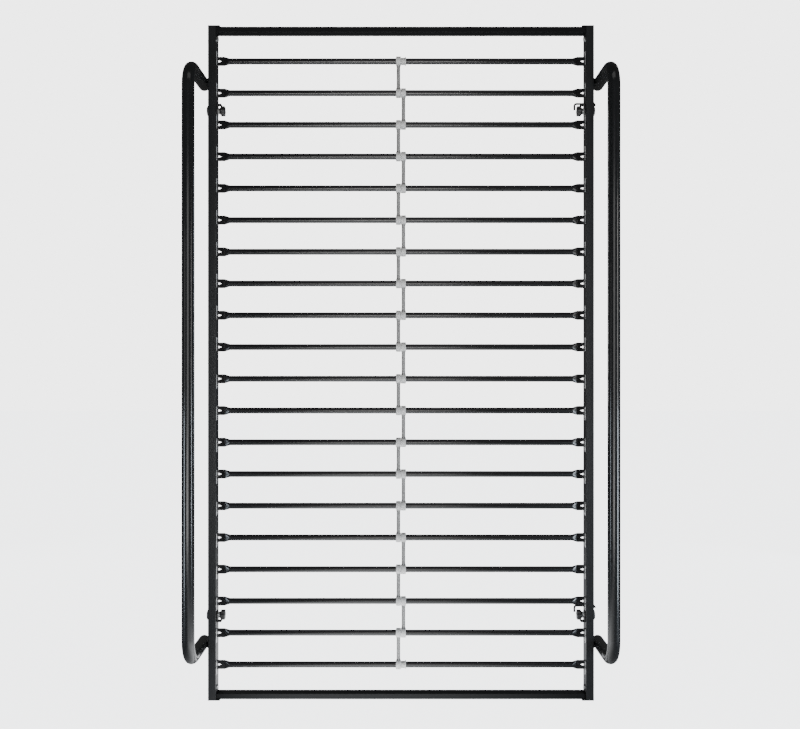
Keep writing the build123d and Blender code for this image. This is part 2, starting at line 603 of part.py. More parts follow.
save(make_hoop(-1), "hoop_left")
save(make_hoop(1), "hoop_right")
save(make_clamp_bolts(), "clamp_bolts")
save(make_lip_plates(), "lip_plates")
for side, side_name in ((-1, "left"), (1, "right")):
    for z, level_name in zip(clamp_heights(), ("lower", "upper")):
        save(make_knob(side, z), f"knob_{level_name}_{side_name}")
save(make_latch_guides(), "latch_guides")
for z, level_name in zip(latch_heights(), ("lower", "upper")):
    save(make_latch(z), f"latch_{level_name}")
    save(make_latch_spring(z), f"latch_spring_{level_name}")
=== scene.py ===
from math import cos, pi, radians, sin, sqrt, tau

import bmesh
import bpy
from mathutils import Matrix, Vector


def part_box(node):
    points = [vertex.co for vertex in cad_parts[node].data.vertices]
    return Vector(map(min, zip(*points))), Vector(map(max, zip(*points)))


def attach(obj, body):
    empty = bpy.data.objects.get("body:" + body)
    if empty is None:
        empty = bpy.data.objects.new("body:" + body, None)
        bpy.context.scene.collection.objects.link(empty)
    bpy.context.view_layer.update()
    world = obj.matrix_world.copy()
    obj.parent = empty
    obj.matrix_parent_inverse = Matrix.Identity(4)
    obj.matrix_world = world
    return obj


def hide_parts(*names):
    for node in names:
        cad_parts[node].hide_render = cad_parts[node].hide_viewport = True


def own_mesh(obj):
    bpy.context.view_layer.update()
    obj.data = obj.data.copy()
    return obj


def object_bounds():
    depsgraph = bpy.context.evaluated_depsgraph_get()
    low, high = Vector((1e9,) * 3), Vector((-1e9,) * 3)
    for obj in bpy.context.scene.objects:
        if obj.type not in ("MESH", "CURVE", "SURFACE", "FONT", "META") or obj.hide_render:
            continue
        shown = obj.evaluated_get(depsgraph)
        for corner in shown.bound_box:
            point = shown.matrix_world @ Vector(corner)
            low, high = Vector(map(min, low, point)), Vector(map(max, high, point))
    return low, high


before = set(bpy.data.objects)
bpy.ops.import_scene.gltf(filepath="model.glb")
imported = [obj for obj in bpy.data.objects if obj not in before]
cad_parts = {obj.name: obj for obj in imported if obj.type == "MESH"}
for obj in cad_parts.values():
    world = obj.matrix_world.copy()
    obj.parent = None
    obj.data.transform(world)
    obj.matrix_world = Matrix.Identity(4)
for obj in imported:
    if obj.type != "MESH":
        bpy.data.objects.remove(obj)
cad_low, cad_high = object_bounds()

# ---- the view ----
# The gate stands upright and is looked at squarely from the front, at the height of its middle,
# from a little over three metres.
VIEW_DISTANCE = 3.165         # lens to the front face of the stiles
VIEW_LENS = 45.1              # millimetres, on a 36 mm sensor
VIEW_ASIDE = -0.003
VIEW_DROP = -0.005

stile_low, stile_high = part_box("stile_right")
stile_front, stile_back = stile_low.y, stile_high.y
middle = (cad_low.z + cad_high.z) / 2
viewer = bpy.data.cameras.new("viewer")
viewer.lens = VIEW_LENS
viewer.sensor_width = 36.0
camera = bpy.data.objects.new("viewer", viewer)
camera.location = (VIEW_ASIDE, stile_front - VIEW_DISTANCE, middle + VIEW_DROP)
camera.rotation_euler = (radians(90), 0, 0)
bpy.context.scene.collection.objects.link(camera)
bpy.context.scene.camera = camera


# ---- the studio ----
# A pale floor in a near-white room. The floor throws light up at the gate, most of it from near the
# foot and from the left. Tall soft boxes stand at both sides, in front and behind.
class Wire:
    """A value that runs through a finish. Arithmetic on it adds Math nodes to that finish."""

    def __init__(self, recipe, socket):
        self.recipe = recipe
        self.socket = socket

    def maths(self, operation, first, second):
        return self.recipe.node("ShaderNodeMath", {"operation": operation}, {0: first, 1: second})

    def __add__(self, other):
        return self.maths("ADD", self, other)

    def __sub__(self, other):
        return self.maths("SUBTRACT", self, other)

    def __rsub__(self, other):
        return self.maths("SUBTRACT", other, self)

    def __mul__(self, other):
        return self.maths("MULTIPLY", self, other)

    def __truediv__(self, other):
        return self.maths("DIVIDE", self, other)

    def __rtruediv__(self, other):
        return self.maths("DIVIDE", other, self)

    def __abs__(self):
        return self.recipe.node("ShaderNodeMath", {"operation": "ABSOLUTE"}, {0: self})

    def __gt__(self, other):
        return self.maths("GREATER_THAN", self, other)

    def between(self, low, high):
        return self.recipe.node("ShaderNodeClamp", sockets={"Value": self, "Min": low, "Max": high})

    __radd__ = __add__
    __rmul__ = __mul__


class Recipe:
    """The nodes of one finish, from its coordinates to its shader."""

    def __init__(self, owner):
        owner.use_nodes = True
        self.owner = owner
        self.tree = owner.node_tree
        self.tree.nodes.clear()

    def node(self, kind, settings=None, sockets=None, output=0):
        """Adds a node, sets it, gives its sockets values or links, and returns one output."""
        made = self.tree.nodes.new(kind)
        for name, value in (settings or {}).items():
            setattr(made, name, value)
        for name, value in (sockets or {}).items():
            if isinstance(value, Wire):
                self.tree.links.new(value.socket, made.inputs[name])
            else:
                made.inputs[name].default_value = value
        return Wire(self, made.outputs[output]) if len(made.outputs) else made

    def mixed(self, share, first, second):
        """A colour between two others. The colour sockets of a Mix node are its 6 and 7."""
        return self.node("ShaderNodeMix", {"data_type": "RGBA"}, {
            "Factor": share, 6: first, 7: second}, output=2)


WHITE = (1.0, 1.0, 1.0, 1.0)
BLACK = (0.0, 0.0, 0.0, 1.0)
ROOM_SEEN = 4.0               # how bright the lens sees the room past the gate
ROOM_LIGHT = 0.07             # how much light the room sheds on the gate
FLOOR_SPAN = 40.0
FLOOR_SHADE = (0.30, 0.30, 0.31, 1.0)
FLOOR_TINT = (0.97, 0.985, 1.0, 1.0)
FLOOR_GLOW = 3.9              # how bright the lens sees the floor
FLOOR_THROW = 3.6             # what the floor sheds on the gate, at its foot
FLOOR_FADE = 0.75             # metres at which that has halved
FLOOR_LEAN = 0.9              # how much more of it comes from the left, per metre
FLOOR_LEAN_LEAST = 0.35
FLOOR_LEAN_MOST = 1.5
FLOOR_WIDE = 0.54             # half the width of the bright patch
FLOOR_BRIGHTEST = 6.0         # emission strength, of which the floor's colour takes a share

room = Recipe(bpy.data.worlds.new("room"))
bpy.context.scene.world = room.owner
seen = room.node("ShaderNodeLightPath", output="Is Camera Ray")
glow = room.node("ShaderNodeBackground", sockets={
    "Color": WHITE, "Strength": seen * (ROOM_SEEN - ROOM_LIGHT) + ROOM_LIGHT})
room.node("ShaderNodeOutputWorld", sockets={"Surface": glow})

ground = Recipe(bpy.data.materials.new("pale_floor"))
seen = ground.node("ShaderNodeLightPath", output="Is Camera Ray")
spot = ground.node("ShaderNodeTexCoord", output="Object")
across = ground.node("ShaderNodeSeparateXYZ", sockets={0: spot}, output="X")
along = ground.node("ShaderNodeSeparateXYZ", sockets={0: spot}, output="Y")
fall = FLOOR_THROW / ((across * across + along * along) * (1 / FLOOR_FADE ** 2) + 1)
wide = across * across * (1 / FLOOR_WIDE ** 2)
lean = (1 - across * FLOOR_LEAN).between(FLOOR_LEAN_LEAST, FLOOR_LEAN_MOST)
throw = fall * lean / (wide * wide * wide * wide + 1)
level = (seen * FLOOR_GLOW + (1 - seen) * throw) * (1 / FLOOR_BRIGHTEST)
shade = ground.node("ShaderNodeBsdfPrincipled", sockets={
    "Base Color": FLOOR_SHADE, "Roughness": 0.9,
    "Emission Color": ground.mixed(level, BLACK, FLOOR_TINT),
    "Emission Strength": FLOOR_BRIGHTEST})
ground.node("ShaderNodeOutputMaterial", sockets={"Surface": shade})
bm = bmesh.new()
bmesh.ops.create_grid(bm, x_segments=1, y_segments=1, size=FLOOR_SPAN / 2)
bmesh.ops.translate(bm, verts=bm.verts, vec=(0, 0, cad_low.z))
floor_mesh = bpy.data.meshes.new("floor")
bm.to_mesh(floor_mesh)
bm.free()
floor = bpy.data.objects.new("floor", floor_mesh)
floor.data.materials.append(ground.owner)
ground.owner.cycles.emission_sampling = "NONE"
bpy.context.scene.collection.objects.link(floor)


def soft_box(name, place, aim, width, height, power, tint, beam=180):
    """A rectangular lamp that faces the point it is aimed at, with a beam so many degrees wide."""
    lamp = bpy.data.lights.new(name, "AREA")
    lamp.shape = "RECTANGLE"
    lamp.size = width
    lamp.size_y = height
    lamp.energy = power
    lamp.color = tint
    lamp.spread = radians(beam)
    holder = bpy.data.objects.new(name, lamp)
    holder.location = place
    holder.rotation_euler = (Vector(aim) - Vector(place)).to_track_quat("-Z", "Y").to_euler()
    holder.visible_camera = False
    bpy.context.scene.collection.objects.link(holder)


NEUTRAL = (1.0, 0.99, 0.98)
COOL = (0.80, 0.90, 1.0)
gate_middle = (0, stile_front, middle)
# name, place, what it is aimed at, width, height, watts, tint, and the beam's angle
soft_box("low_far", (-0.35, -2.7, 0.30), (-0.2, 0, 2.1), 2.2, 0.7, 10, NEUTRAL, 75)
soft_box("side_left", (-1.75, -0.80, 0.45), (-0.62, -0.1, 0.45), 0.28, 0.80, 9, COOL)
soft_box("side_right", (1.75, -0.75, 0.45), (0.62, -0.1, 0.45), 0.28, 0.80, 17, COOL)
soft_box("tall_left", (-1.9, -1.30, 1.25), (-0.5, 0, 1.15), 0.40, 0.90, 1.5, NEUTRAL)
soft_box("tall_right", (2.0, -1.05, 1.30), (0.5, 0, 1.2), 0.40, 1.10, 8, NEUTRAL)
soft_box("front", (0, -4.6, 1.4), gate_middle, 2.4, 2.2, 34, NEUTRAL)
soft_box("top", (0.3, -1.8, 4.2), gate_middle, 2.4, 1.2, 8, NEUTRAL)
soft_box("back_left", (-2.3, 2.4, 1.7), gate_middle, 0.9, 2.2, 22, NEUTRAL)
soft_box("back_right", (2.3, 2.4, 1.3), gate_middle, 0.9, 2.2, 16, COOL)


# ---- stiles and rails ----
# Each stile is a channel of 2.5 mm steel sheet, open at the back, slotted for the rungs. The rails
# are rectangular tube let into its ends. All four are powder coated satin black; the rails get a
# darker, less shiny copy of the coat.
def finish_of(name, colour, sockets, wires):
    """A new finish: fixed sockets of its shader, and what wires(recipe, place) links to it."""
    recipe = Recipe(bpy.data.materials.new(name))
    place = recipe.node("ShaderNodeTexCoord", output="Object")
    fixed = {"Base Color": (*colour, 1.0), **sockets}
    shader = recipe.node("ShaderNodeBsdfPrincipled", sockets={**fixed, **wires(recipe, place)})
    recipe.node("ShaderNodeOutputMaterial", sockets={"Surface": shader})
    return recipe.owner


def grain(recipe, place, per_metre, detail=2.0, roughness=0.5):
    """Noise from 0 to 1 with so many features to the metre."""
    return recipe.node("ShaderNodeTexNoise", sockets={
        "Vector": place, "Scale": per_metre, "Detail": detail, "Roughness": roughness})


def bumped(recipe, height, strength, depth):
    """The normal of a skin that rises and sinks with a height from 0 to 1."""
    return recipe.node("ShaderNodeBump", sockets={
        "Height": height, "Strength": strength, "Distance": depth})


EDGE_GAIN = 5.0               # how fast an edge shows as its faces turn from one another
PATCH_GAIN = 1.6              # how far patches of wear widen it
EDGE_FLOOR = 1.15             # what both have to pass before any wear shows


def rubbed_edges(recipe, patches, reach):
    """1 along outer edges that handling has rubbed, in patches, and 0 elsewhere."""
    rounded_off = recipe.node("ShaderNodeBevel", {"samples": 4}, {"Radius": reach})
    flat = recipe.node("ShaderNodeNewGeometry", output="Normal")
    alike = recipe.node("ShaderNodeVectorMath", {"operation": "DOT_PRODUCT"}, {
        0: rounded_off, 1: flat}, output="Value")
    return ((1 - alike) * EDGE_GAIN + patches * PATCH_GAIN - EDGE_FLOOR).between(0, 1)


RUBBED_COAT = (0.075, 0.078, 0.082, 1.0)
SPECK_SHARE = 0.78            # of the fine noise, above which a speck shows


def powder_coat(name, dark, light, gloss, peel, shine=0.5):
    """Baked powder coat: faint clouding, orange peel, pinhead specks, and edges rubbed paler."""
    def wires(recipe, place):
        cloud = grain(recipe, place, 7.0, 4.0)
        skin = grain(recipe, place, 850.0, 1.5)
        specks = grain(recipe, place, 420.0, 1.0) > SPECK_SHARE
        rub = rubbed_edges(recipe, grain(recipe, place, 55.0, 3.0), 0.0009)
        colour = recipe.mixed(cloud * 0.75 + specks * 0.25, (*dark, 1.0), (*light, 1.0))
        colour = recipe.mixed(rub * 0.5, colour, RUBBED_COAT)
        dullness = cloud * 0.10 + skin * 0.05 + rub * 0.08 + (gloss - 0.075)
        return {"Base Color": colour, "Roughness": dullness,
                "Normal": bumped(recipe, skin, peel, 0.00006)}
    fixed = {"Specular IOR Level": shine, "Coat Weight": shine * 0.2, "Coat Roughness": 0.2}
    return finish_of(name, dark, fixed, wires)


def coat_node(name, finish):
    """Gives a CAD node its finish."""
    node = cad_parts[name]
    node.data.materials.clear()
    node.data.materials.append(finish)


frame_coat = powder_coat("frame_coat", (0.0095, 0.0100, 0.0108), (0.018, 0.019, 0.021),
                         gloss=0.40, peel=0.12, shine=0.3)
# A darker, less shiny copy of the frame coat, which darkens the rails.
rail_coat = powder_coat("rail_coat", (0.0055, 0.0058, 0.0064), (0.0105, 0.0110, 0.0120),
                        gloss=0.46, peel=0.12, shine=0.13)
for name in ("stile_left", "stile_right"):
    coat_node(name, frame_coat)
for name in ("rail_top", "rail_bottom"):
    coat_node(name, rail_coat)


# ---- stile caps ----
# A plate with rounded corners closes each end of a stile and runs on over the end of the rail. A
# short tongue behind the rail locates it in the channel.
CAP_THICKNESS = 0.003
CAP_OVER_RAIL = 0.0125
CAP_CORNER = 0.002
CAP_EDGE = 0.0006
TONGUE_GAP = 0.0003
TONGUE_DROP = 0.009
STILE_WALL = 0.0025
SHARP = radians(32)           # an edge that turns by less is shaded smooth
CLOSE = 1e-6                  # two lengths nearer than this are the same


def slab(low, high):
    """A box between two corners, as a bmesh."""
    low, high = Vector(low), Vector(high)
    bm = bmesh.new()
    bmesh.ops.create_cube(bm, size=1.0)
    bmesh.ops.scale(bm, verts=bm.verts, vec=high - low)
    bmesh.ops.translate(bm, verts=bm.verts, vec=(low + high) / 2)
    return bm


def lying(edge, axis):
    """True if an edge runs along that axis, 0 to 2."""
    run = edge.verts[1].co - edge.verts[0].co
    return abs(run[axis]) > 0.999 * run.length


def rounded(bm, edges, radius, segments):
    """Rounds those edges."""
    bmesh.ops.bevel(bm, geom=list(edges), offset=radius, offset_type="OFFSET", segments=segments,
                    profile=0.5, affect="EDGES", material=-1, clamp_overlap=True)


def gathered(parts):
    """Several finished bmeshes as one."""
    whole = bmesh.new()
    for part in parts:
        scrap = bpy.data.meshes.new("scrap")
        part.to_mesh(scrap)
        part.free()
        whole.from_mesh(scrap)
        bpy.data.meshes.remove(scrap)
    return whole


def settled(bm, name, finish, body, slot, *nodes):
    """Makes a bmesh a piece: shaded, coated, riding on its body, in place of those CAD nodes."""
    bmesh.ops.recalc_face_normals(bm, faces=bm.faces)
    for face in bm.faces:
        face.smooth = True
    for edge in bm.edges:
        edge.smooth = edge.calc_face_angle(0.0) < SHARP
    mesh = bpy.data.meshes.new(name)
    bm.to_mesh(mesh)
    bm.free()
    mesh.materials.append(finish)
    piece = bpy.data.objects.new(name, mesh)
    bpy.context.scene.collection.objects.link(piece)
    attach(piece, body)
    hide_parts(*nodes)
    return piece


half_width = stile_high.x
flange = stile_low.x
rail_low, rail_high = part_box("rail_top")
cap_coat = powder_coat("cap_coat", (0.0090, 0.0093, 0.0100), (0.016, 0.017, 0.018),
                       gloss=0.42, peel=0.2, shine=0.3)
caps = []
for side in (-1, 1):
    for end, inward in ((cad_low.z, 1), (cad_high.z, -1)):
        xs = sorted((side * (flange - CAP_OVER_RAIL), side * half_width))
        zs = sorted((end, end + inward * CAP_THICKNESS))
        plate = slab((xs[0], stile_front, zs[0]), (xs[1], stile_back, zs[1]))
        rounded(plate, [e for e in plate.edges if lying(e, 2)], CAP_CORNER, 5)
        rim = [e for e in plate.edges if all(abs(v.co.z - end) < CLOSE for v in e.verts)]
        rounded(plate, rim, CAP_EDGE, 3)
        gap = STILE_WALL + TONGUE_GAP
        xs = sorted((side * (flange + gap), side * (half_width - gap)))
        drop = CAP_THICKNESS + TONGUE_DROP
        zs = sorted((end + inward * CAP_THICKNESS / 2, end + inward * drop))
        tongue = slab((xs[0], rail_high.y + TONGUE_GAP, zs[0]),
                      (xs[1], stile_back - TONGUE_GAP, zs[1]))
        rounded(tongue, tongue.edges, CAP_EDGE, 2)
        caps += [plate, tongue]
settled(gathered(caps), "stile_end_caps", cap_coat, "panel", "cap_black", "stile_caps")


# ---- corner bolts ----
# Bright zinc plated hexagon bolts, one just inside each rail end, that clamp the rail's tab to the
# stile's inner flange. The nut is inside the channel. Heads and nuts are chamfered all round.
CORNER_DROP = 0.036           # bolt axis from the end of the gate
CORNER_HEAD = 0.0045
CORNER_HEAD_FLATS = 0.015
CORNER_NUT = 0.006
CORNER_NUT_FLATS = 0.013
CORNER_SHANK = 0.004
CORNER_TAIL = 0.0015
TAB_THICKNESS = 0.003
THREAD_DEPTH = 0.0006
CHAMFER_SLOPE = 0.58          # rise of a 30 degree chamfer
CHAMFER_FACE = 0.475          # radius of a bolt head's flat face, of its width over flats


def all_of(bm):
    """Every vertex, edge and face of a bmesh, for an operator that works on the whole of it."""
    return list(bm.verts) + list(bm.edges) + list(bm.faces)


def turned(profile, centre, steps=48):
    """A solid of revolution along X through centre, from (along, radius) points, as a bmesh."""
    bm = bmesh.new()
    verts = [bm.verts.new((centre[0] + along, centre[1], centre[2] + radius))
             for along, radius in profile]
    edges = [bm.edges.new(pair) for pair in zip(verts, verts[1:])]
    bmesh.ops.spin(bm, geom=verts + edges, cent=centre, axis=(1, 0, 0), angle=tau, steps=steps,
                   use_merge=True)
    bmesh.ops.remove_doubles(bm, verts=bm.verts, dist=1e-7)
    return bm


def hexagon(start, end, centre, flats):
    """A hexagon bar along X with both ends chamfered: a turned blank milled to six flats."""
    corner = flats / sqrt(3)
    trim = corner - flats * CHAMFER_FACE
    rise = trim * CHAMFER_SLOPE
    way = 1 if end > start else -1
    profile = [(start, 0), (start, corner - trim), (start + way * rise, corner),
               (end - way * rise, corner), (end, corner - trim), (end, 0)]
    bm = turned(profile, centre)
    for turn in range(6):
        outward = Vector((0, cos(turn * tau / 6), sin(turn * tau / 6)))
        bmesh.ops.bisect_plane(bm, geom=all_of(bm), dist=1e-8, plane_no=outward,
                               plane_co=Vector(centre) + outward * flats / 2, clear_outer=True)
        bmesh.ops.holes_fill(bm, edges=bm.edges, sides=0)
    return bm


def threaded(start, end, radius, pitch, depth):
    """Profile points of a thread from start to end, as rings."""
    way = 1 if end > start else -1
    points = []
    for turn in range(int(abs(end - start) / pitch)):
        crest = start + way * pitch * turn
        points += [(crest, radius), (crest + way * pitch / 2, radius - depth)]
    return points + [(end, radius)]


def zinc_plate(name, dark, light, gloss):
    """Bright zinc with its clear passivate: a faint blue and straw tint and fine drawing marks."""
    def wires(recipe, place):
        tint = grain(recipe, place, 90.0, 3.0)
        marks = grain(recipe, place, 1400.0, 3.0)
        return {"Base Color": recipe.mixed(tint, (*dark, 1.0), (*light, 1.0)),
                "Roughness": tint * 0.14 + marks * 0.12 + (gloss - 0.13),
                "Normal": bumped(recipe, marks, 0.25, 0.00004)}
    return finish_of(name, light, {"Metallic": 1.0}, wires)


zinc = zinc_plate("zinc", (0.60, 0.63, 0.68), (0.86, 0.85, 0.80), gloss=0.26)
rail_depth = (rail_low.y + rail_high.y) / 2
bolts = []
for side in (-1, 1):
    for z in (cad_low.z + CORNER_DROP, cad_high.z - CORNER_DROP):
        centre = (0, rail_depth, z)
        head = flange - CORNER_HEAD
        bolts.append(hexagon(side * head, side * flange, centre, CORNER_HEAD_FLATS))
        nut = flange + STILE_WALL + TAB_THICKNESS
        bolts.append(hexagon(side * nut, side * (nut + CORNER_NUT), centre, CORNER_NUT_FLATS))
        tip = nut + CORNER_NUT + CORNER_TAIL
        root = flange - CORNER_HEAD / 2
        shank = [(root, 0), (root, CORNER_SHANK), (nut, CORNER_SHANK),
                 (tip - THREAD_DEPTH, CORNER_SHANK), (tip, CORNER_SHANK - THREAD_DEPTH), (tip, 0)]
        bolts.append(turned([(side * along, radius) for along, radius in shank], centre))
settled(gathered(bolts), "corner_bolt_set", zinc, "panel", "zinc", "corner_bolts")


# ---- rungs ----
# Twenty lengths of 19 mm tube. Both ends are pressed flat in a die and notched, which spreads them
# like a swallow's tail, and a tenon goes on through the stile's slot. Powder coated gloss black.
PRESSED_HALF = 0.0013         # half the thickness of the pressed end
FORK_FLAT = 0.024
FORK_TAPER = 0.016
FORK_NOTCH_HALF = 0.00525     # half the notch's width, at the stile
FORK_NOTCH_DEPTH = 0.015
TENON_HALF = 0.012
RUNG_FACETS = 48
TAPER_STEPS = 12
SEAM_WALL = 0.0011            # pressed wall beside the line where the two walls meet
SEAM_DEPTH = 0.0012

rung_low, rung_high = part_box("rung_01")
RUNG_RADIUS = (rung_high.y - rung_low.y) / 2
BLADE_HALF = (rung_high.z - rung_low.z) / 2
rung_depth = (rung_low.y + rung_high.y) / 2


def circle_across_x(bm, radius, facets):
    """An open ring of edges about the X axis, at the origin."""
    upright = Matrix.Rotation(pi / 2, 4, "Y")
    made = bmesh.ops.create_circle(bm, cap_ends=False, radius=radius, segments=facets,
                                   matrix=upright)
    return list({edge for vert in made["verts"] for edge in vert.link_edges})


def edges_in(parts):
    """The edges among what an operator returns."""
    return [part for part in parts if isinstance(part, bmesh.types.BMEdge)]


def drawn_out(bm, loop, step):
    """Extrudes a loop of edges by a step and returns the new loop."""
    grown = bmesh.ops.extrude_edge_only(bm, edges=loop)["geom"]
    verts = {part for part in grown if isinstance(part, bmesh.types.BMVert)}
    bmesh.ops.translate(bm, verts=list(verts), vec=step)
    return [edge for edge in edges_in(grown) if set(edge.verts) <= verts]


def verts_of(edges):
    """The vertices of those edges, each once."""
    return list({vert for edge in edges for vert in edge.verts})


def press(vert, share):
    """Moves a point of the round tube to where it lies once the tube is pressed by that share."""
    squeeze = 1 + share * (PRESSED_HALF / RUNG_RADIUS - 1)
    spread = share * (BLADE_HALF - PRESSED_HALF)
    above = (vert.co.z > CLOSE) - (vert.co.z < -CLOSE)
    vert.co.y *= squeeze
    vert.co.z = vert.co.z * squeeze + spread * above


def rung_tube():
    """One rung about the origin, along X."""
    bm = bmesh.new()
    loop = circle_across_x(bm, RUNG_RADIUS, RUNG_FACETS)
    taper_start = flange - FORK_FLAT - FORK_TAPER
    loop = drawn_out(bm, loop, (taper_start, 0, 0))
    for _ in range(TAPER_STEPS):
        loop = drawn_out(bm, loop, (FORK_TAPER / TAPER_STEPS, 0, 0))
    loop = drawn_out(bm, loop, (FORK_FLAT, 0, 0))
    for vert in bm.verts:
        reach = min(max((vert.co.x - taper_start) / FORK_TAPER, 0.0), 1.0)
        press(vert, reach)
    loop = drawn_out(bm, loop, (0, 0, 0))
    bmesh.ops.scale(bm, verts=verts_of(loop), vec=(1, 1, TENON_HALF / BLADE_HALF))
    tip = rung_high.x
    loop = drawn_out(bm, loop, (tip - flange, 0, 0))
    bmesh.ops.contextual_create(bm, geom=loop)
    slope = FORK_NOTCH_HALF / FORK_NOTCH_DEPTH
    apex = Vector((flange - FORK_NOTCH_DEPTH, 0, 0))
    for point, upward in ((Vector(), Vector((0, 0, 1))), (apex, Vector((-slope, 0, 1)))):
        bmesh.ops.bisect_plane(bm, geom=all_of(bm), dist=1e-7, plane_co=point, plane_no=upward,
                               clear_inner=True)
    corner = [v for v in bm.verts
              if (v.co - apex).yz.length < PRESSED_HALF * 1.5 and abs(v.co.x - apex.x) < CLOSE]
    lips = [e for e in bm.edges
            if e.is_boundary and min(v.co.x for v in e.verts) > apex.x - CLOSE]
    lips.append(bm.edges.new(corner))
    cut = bmesh.ops.contextual_create(bm, geom=lips)["faces"]
    bmesh.ops.inset_region(bm, faces=cut, thickness=SEAM_WALL, depth=-SEAM_DEPTH,
                           use_even_offset=True)
    for axis in "ZX":
        bmesh.ops.mirror(bm, geom=all_of(bm), axis=axis, merge_dist=CLOSE)
    return bm


rung_coat = powder_coat("rung_coat", (0.0085, 0.0088, 0.0095), (0.015, 0.0155, 0.0165),
                        gloss=0.24, peel=0.05)
rungs = sorted(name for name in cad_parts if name.startswith("rung_"))
rungs.remove("rung_bushes")
for name in rungs:
    low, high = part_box(name)
    rung = rung_tube()
    bmesh.ops.translate(rung, verts=rung.verts, vec=(0, rung_depth, (low.z + high.z) / 2))
    settled(rung, name + "_tube", rung_coat, "panel", "rung_black", name)


# ---- slot bushes ----
# A pale grey nylon bush lines each slot of the stiles, so that no rung rattles. It is moulded, with
# a fine spark-eroded skin.
def moulded(name, dark, light, gloss, texture):
    """Moulded plastic: flow clouding, a fine skin, and edges rubbed paler and smoother."""
    def wires(recipe, place):
        flow = grain(recipe, place, 60.0, 3.0)
        skin = grain(recipe, place, 1900.0, 2.0)
        rub = rubbed_edges(recipe, grain(recipe, place, 80.0, 3.0), 0.0006)
        share = flow * 0.5 + skin * 0.3 + rub * 0.2
        return {"Base Color": recipe.mixed(share, (*dark, 1.0), (*light, 1.0)),
                "Roughness": skin * 0.12 + flow * 0.08 - rub * 0.06 + (gloss - 0.10),
                "Normal": bumped(recipe, skin, texture, 0.00008)}
    return finish_of(name, light, {}, wires)


bush_nylon = moulded("bush_nylon", (0.62, 0.62, 0.62), (0.86, 0.86, 0.85), gloss=0.5, texture=0.4)
coat_node("rung_bushes", bush_nylon)


# ---- links ----
# Grey nylon spacers that snap on to two neighbouring rungs and step from one side of the middle to
# the other. Each has a ring at both ends, open at the back, and a strap with a rib down its middle.
LINK_BORE = 0.0096
LINK_ROUND = 0.002
LINK_MOUTH_HALF = 0.006
LINK_LIP = 0.0008
LINK_EDGE = 0.0004
STRAP_HALF = 0.00575
STRAP_WING = 0.0015           # half the thickness of the strap's wings
STRAP_RIB_HALF = 0.0014
STRAP_RIB_TOP = 0.004
STRAP_FLARE = 0.0018          # how much wider it is at a ring
STRAP_FLARE_RUN = 0.006
STRAP_EDGE = 0.0005
STRAP_SUNK = 0.0015           # how far its end runs into a ring
LINK_SHADE_FROM = 0.0015       # painted shade, off the rungs' axis: darker nearer it, paler beyond the run
LINK_SHADE_RUN = 0.010
LINK_DARK = (0.17, 0.17, 0.168, 1.0)
LINK_PALE = (0.82, 0.82, 0.81, 1.0)

link_low, link_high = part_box("link_01")
LINK_RADIUS = rung_depth - link_low.y
RING_HALF = (link_high.x - link_low.x) / 2
link_half = (link_high.z - link_low.z) / 2 - LINK_RADIUS


def arc(centre, radius, start, end, steps):
    """Points along a circular arc; the angles are in degrees."""
    turns = [radians(start + (end - start) * step / steps) for step in range(steps + 1)]
    return [(centre[0] + radius * cos(turn), centre[1] + radius * sin(turn)) for turn in turns]


def snap_ring(height):
    """A ring round a rung, open at the back."""
    profile = [(-RING_HALF + LINK_EDGE, LINK_BORE), (-RING_HALF, LINK_BORE + LINK_EDGE)]
    profile += arc((-RING_HALF + LINK_ROUND, LINK_RADIUS - LINK_ROUND), LINK_ROUND, 180, 90, 6)
    profile += arc((RING_HALF - LINK_ROUND, LINK_RADIUS - LINK_ROUND), LINK_ROUND, 90, 0, 6)
    profile += [(RING_HALF, LINK_BORE + LINK_EDGE), (RING_HALF - LINK_EDGE, LINK_BORE), profile[0]]
    bm = turned(profile, (0, 0, 0), 64)
    for level in (-LINK_MOUTH_HALF, LINK_MOUTH_HALF):
        bmesh.ops.bisect_plane(bm, geom=all_of(bm), dist=1e-7, plane_co=(0, 0, level),
                               plane_no=(0, 0, 1))
    gone = [f for f in bm.faces if f.calc_center_median().y > 0
            and abs(f.calc_center_median().z) < LINK_MOUTH_HALF]
    bmesh.ops.delete(bm, geom=gone, context="FACES")
    lips = [e for e in bm.edges if e.is_boundary]
    bmesh.ops.holes_fill(bm, edges=lips, sides=0)
    rounded(bm, lips, LINK_LIP, 3)
    bmesh.ops.translate(bm, verts=bm.verts, vec=(0, 0, height))
    return bm


def strap():
    """The bar between two rings, with wings either side of a rib, flared where it joins them."""
    bm = bmesh.new()
    corner = [(STRAP_HALF, STRAP_WING), (STRAP_RIB_HALF, STRAP_WING),
              (STRAP_RIB_HALF, STRAP_RIB_TOP)]
    outline = corner + [(-x, y) for x, y in reversed(corner)]
    outline += [(-x, -y) for x, y in corner] + [(x, -y) for x, y in reversed(corner)]
    end = link_half - LINK_RADIUS + STRAP_SUNK
    verts = [bm.verts.new((x, y, -end)) for x, y in outline]
    loop = [bm.edges.new(pair) for pair in zip(verts, verts[1:] + verts[:1])]
    bmesh.ops.contextual_create(bm, geom=loop)
    flare = [STRAP_FLARE_RUN / 4] * 4
    for step in (*flare, 2 * (end - STRAP_FLARE_RUN), *flare):
        loop = drawn_out(bm, loop, (0, 0, step))
    bmesh.ops.contextual_create(bm, geom=loop)
    rounded(bm, [e for e in bm.edges if lying(e, 2) and e.calc_face_angle(0) > 1], STRAP_EDGE, 2)
    for vert in bm.verts:
        near = max(0.0, (abs(vert.co.z) - end + STRAP_FLARE_RUN) / STRAP_FLARE_RUN)
        vert.co.x *= 1 + (STRAP_FLARE / STRAP_HALF) * near * near
    return bm


